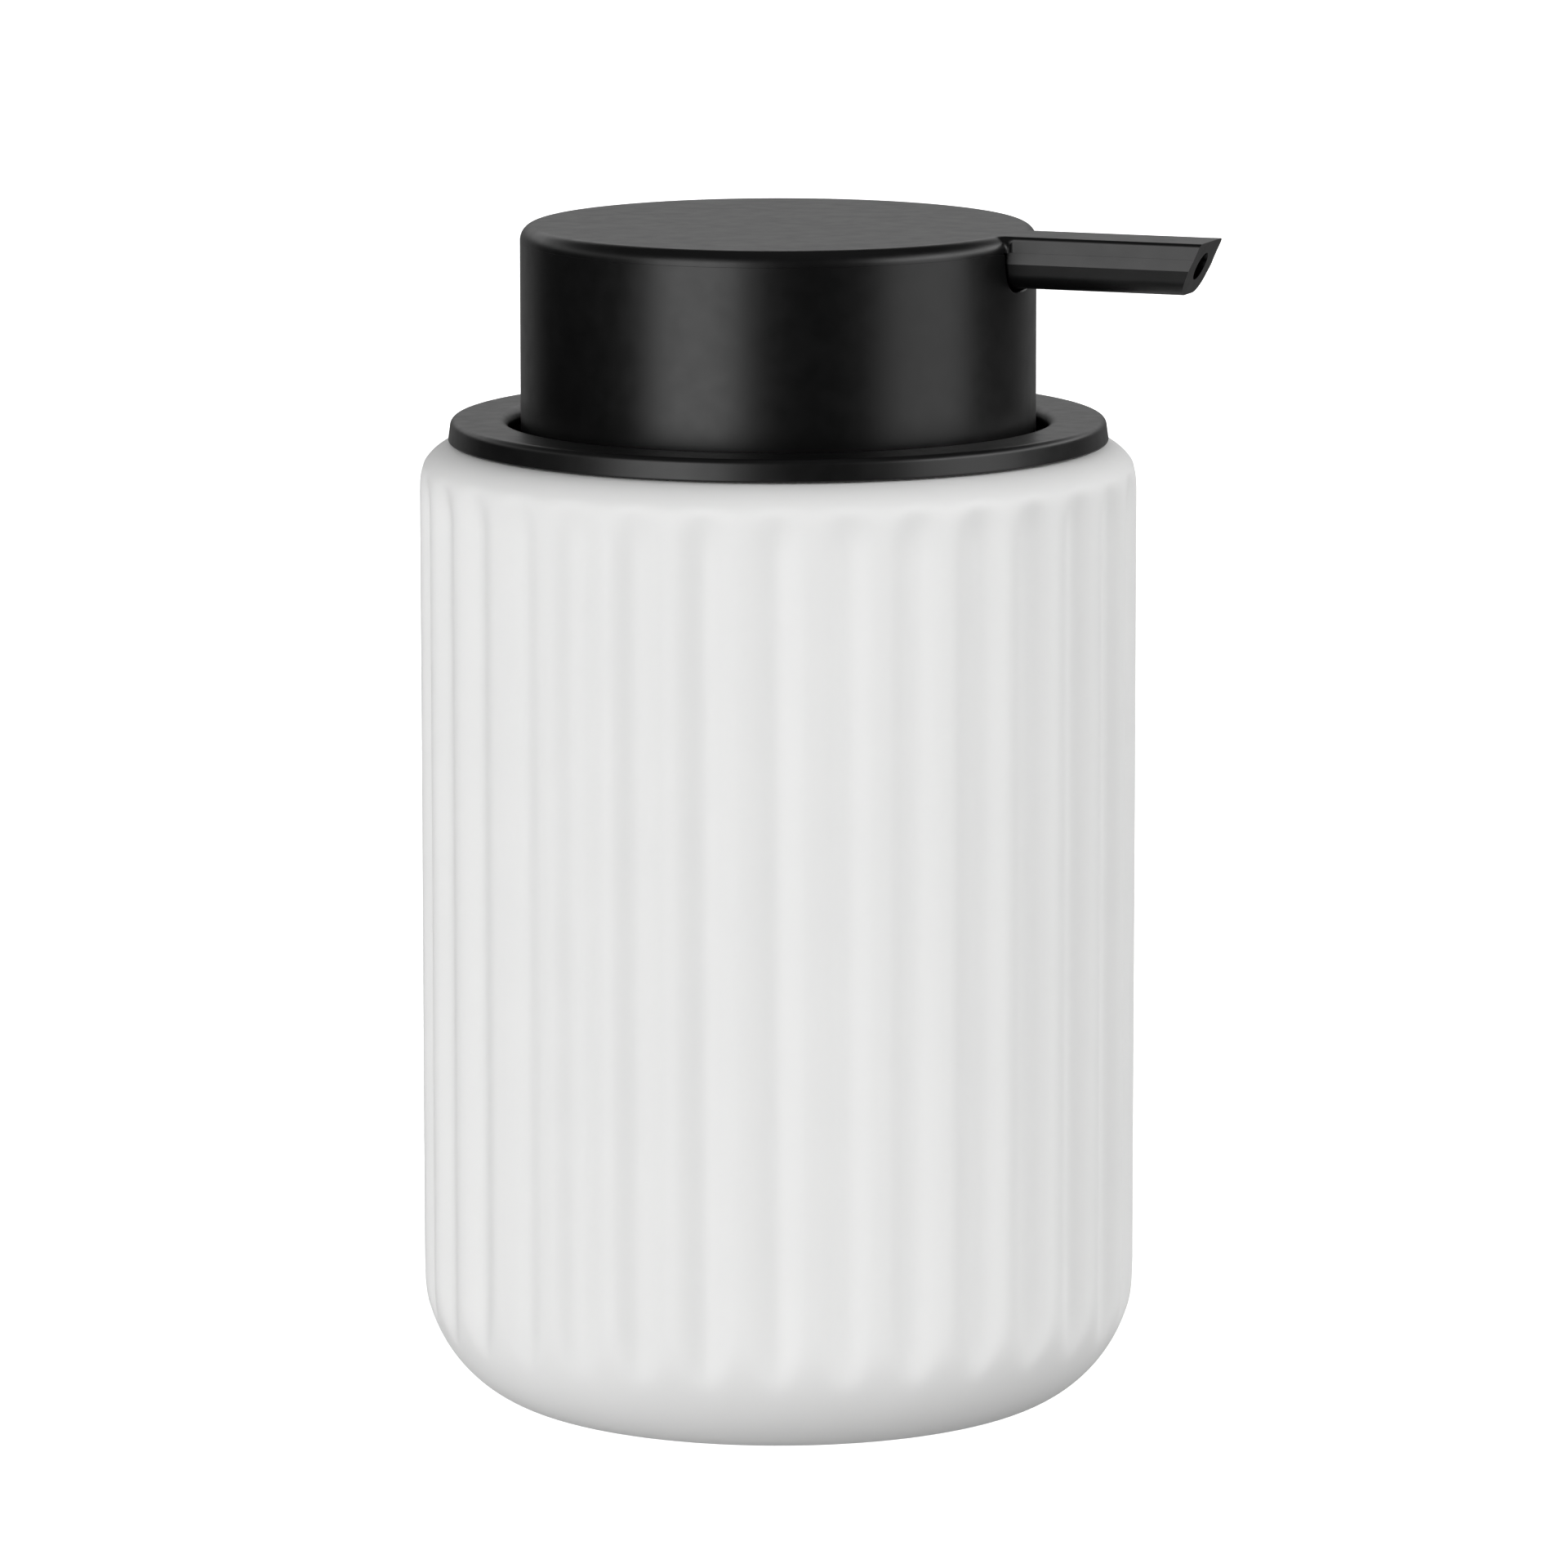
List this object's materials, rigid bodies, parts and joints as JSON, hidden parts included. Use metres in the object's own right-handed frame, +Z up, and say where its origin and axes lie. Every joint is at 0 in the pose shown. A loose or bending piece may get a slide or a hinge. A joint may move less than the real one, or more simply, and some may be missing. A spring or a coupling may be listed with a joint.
{
  "type": "soap pump dispenser",
  "caption": "Countertop liquid soap dispenser: fluted white ceramic bottle, flat black collar, and a wide round press head with a short straight spout.",
  "frame": {"origin": "centre of the base on the resting plane", "axes": "+Z up, +X along the spout, away from the head"},
  "size_m": [0.0906, 0.0798, 0.1323],
  "materials": {
    "ceramic": "matt white glaze",
    "pad": "non-slip",
    "black_collar": "satin black",
    "black_head": "satin black",
    "black_plastic": "moulded black",
    "natural_plastic": "natural moulded",
    "piston_plastic": "soft moulded",
    "silicone": "silicone",
    "spring_steel": "drawn wire",
    "ball_steel": "polished ball"
  },
  "bodies": {
    "root": {"ceramic_body": "ceramic", "base_pad": "pad"},
    "pump_unit": {"collar_ring": "black_collar", "well_cup": "black_plastic", "mouth_gasket": "silicone", "closure_nut": "black_plastic", "housing_gasket": "silicone", "pump_housing": "natural_plastic", "dip_tube": "natural_plastic", "valve_cage": "natural_plastic", "return_spring": "spring_steel", "chaplet": "natural_plastic", "stem_seal": "silicone"},
    "plunger": {"piston_rod": "natural_plastic", "piston_seal": "piston_plastic"},
    "head": {"head_top": "black_head", "head_sleeve": "black_head", "head_core": "black_plastic", "stem": "black_plastic"},
    "upper_valve": {"upper_ball": "ball_steel"},
    "lower_valve": {"lower_ball": "ball_steel"}
  },
  "joints": [
    {"name": "pump_lift", "type": "slide", "parent": "root", "child": "pump_unit", "axis": [0, 0, 1], "range_m": [0, 0.105]},
    {"name": "press", "type": "slide", "parent": "pump_unit", "child": "plunger", "axis": [0, 0, -1], "range_m": [0, 0.012], "stiffness_N_per_m": 400, "springref_m": -0.012, "deforming": ["return_spring"]},
    {"name": "head_turn", "type": "hinge", "parent": "plunger", "child": "head", "pos_m": [0, 0, 0.12], "axis": [0, 0, 1], "continuous": true},
    {"name": "upper_valve_lift", "type": "slide", "parent": "plunger", "child": "upper_valve", "axis": [0, 0, 1], "range_m": [0, 0.001]},
    {"name": "lower_valve_lift", "type": "slide", "parent": "pump_unit", "child": "lower_valve", "axis": [0, 0, 1], "range_m": [0, 0.0012]}
  ]
}
